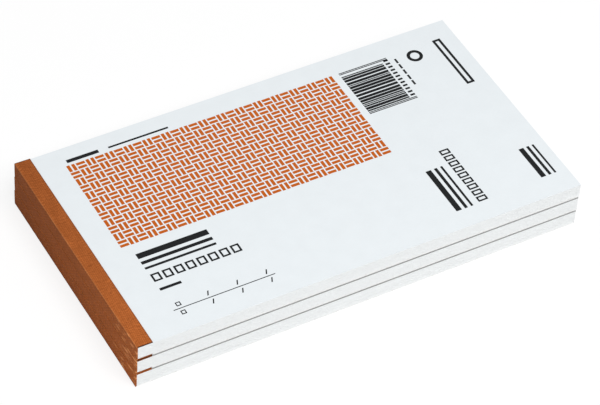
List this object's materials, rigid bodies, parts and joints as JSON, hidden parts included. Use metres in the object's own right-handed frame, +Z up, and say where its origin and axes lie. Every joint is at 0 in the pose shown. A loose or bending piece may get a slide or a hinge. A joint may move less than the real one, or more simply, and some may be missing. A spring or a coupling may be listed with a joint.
{
  "type": "receipt book set",
  "caption": "Stack of tape-bound receipt books with card covers, paper leaves, back boards and wire staples. The top cover and its first leaves swing open at the spine.",
  "frame": {"origin": "centre of the stack's underside, on the table that it lies on", "axes": "+X from the spine to the fore edge, +Y across the books to the back, +Z up"},
  "size_m": [0.1894, 0.104, 0.0213],
  "materials": {
    "cover_card": "smooth white card",
    "leaf_paper": "uncoated white paper",
    "back_board": "stiff board with a white face",
    "spine_tape": "rust brown embossed cloth tape",
    "staple_wire": "bright drawn wire"
  },
  "bodies": {
    "bottom_book": {"bottom_back_board": "back_board", "bottom_leaves": "leaf_paper", "bottom_staples": "staple_wire", "bottom_spine_tape": "spine_tape", "bottom_front_cover": "cover_card"},
    "middle_book": {"middle_back_board": "back_board", "middle_leaves": "leaf_paper", "middle_staples": "staple_wire", "middle_spine_tape": "spine_tape", "middle_front_cover": "cover_card"},
    "top_book": {"top_back_board": "back_board", "top_leaves": "leaf_paper", "top_staples": "staple_wire", "top_spine_tape": "spine_tape", "top_cover_margin": "cover_card", "top_leaf_margins": "leaf_paper"},
    "top_cover": {"top_front_cover": "cover_card"},
    "top_leaf_1": {"top_turning_leaf_1": "leaf_paper"},
    "top_leaf_2": {"top_turning_leaf_2": "leaf_paper"},
    "top_leaf_3": {"top_turning_leaf_3": "leaf_paper"},
    "top_leaf_4": {"top_turning_leaf_4": "leaf_paper"},
    "top_leaf_5": {"top_turning_leaf_5": "leaf_paper"},
    "top_leaf_6": {"top_turning_leaf_6": "leaf_paper"}
  },
  "joints": [
    {"name": "middle_book_lift", "type": "slide", "parent": "bottom_book", "child": "middle_book", "axis": [0, 0, 1], "range_m": [0, 0.06]},
    {"name": "top_book_lift", "type": "slide", "parent": "middle_book", "child": "top_book", "axis": [0, 0, 1], "range_m": [0, 0.06]},
    {"name": "top_cover_hinge", "type": "hinge", "parent": "top_book", "child": "top_cover", "pos_m": [-0.08785, 0, 0.02113], "axis": [0, -1, 0], "range_deg": [0, 178]},
    {"name": "top_leaf_1_turn", "type": "hinge", "parent": "top_book", "child": "top_leaf_1", "pos_m": [-0.08785, 0, 0.02113], "axis": [0, -1, 0], "range_deg": [0, 150]},
    {"name": "top_leaf_2_turn", "type": "hinge", "parent": "top_book", "child": "top_leaf_2", "pos_m": [-0.08785, 0, 0.02113], "axis": [0, -1, 0], "range_deg": [0, 125]},
    {"name": "top_leaf_3_turn", "type": "hinge", "parent": "top_book", "child": "top_leaf_3", "pos_m": [-0.08785, 0, 0.02113], "axis": [0, -1, 0], "range_deg": [0, 100]},
    {"name": "top_leaf_4_turn", "type": "hinge", "parent": "top_book", "child": "top_leaf_4", "pos_m": [-0.08785, 0, 0.02113], "axis": [0, -1, 0], "range_deg": [0, 75]},
    {"name": "top_leaf_5_turn", "type": "hinge", "parent": "top_book", "child": "top_leaf_5", "pos_m": [-0.08785, 0, 0.02113], "axis": [0, -1, 0], "range_deg": [0, 50]},
    {"name": "top_leaf_6_turn", "type": "hinge", "parent": "top_book", "child": "top_leaf_6", "pos_m": [-0.08785, 0, 0.02113], "axis": [0, -1, 0], "range_deg": [0, 25]}
  ],
  "couplings": [
    {"joint": "top_leaf_1_turn", "follows": "top_cover_hinge", "ratio": 0.8426},
    {"joint": "top_leaf_2_turn", "follows": "top_cover_hinge", "ratio": 0.7022},
    {"joint": "top_leaf_3_turn", "follows": "top_cover_hinge", "ratio": 0.5617},
    {"joint": "top_leaf_4_turn", "follows": "top_cover_hinge", "ratio": 0.4213},
    {"joint": "top_leaf_5_turn", "follows": "top_cover_hinge", "ratio": 0.2808},
    {"joint": "top_leaf_6_turn", "follows": "top_cover_hinge", "ratio": 0.1404}
  ]
}
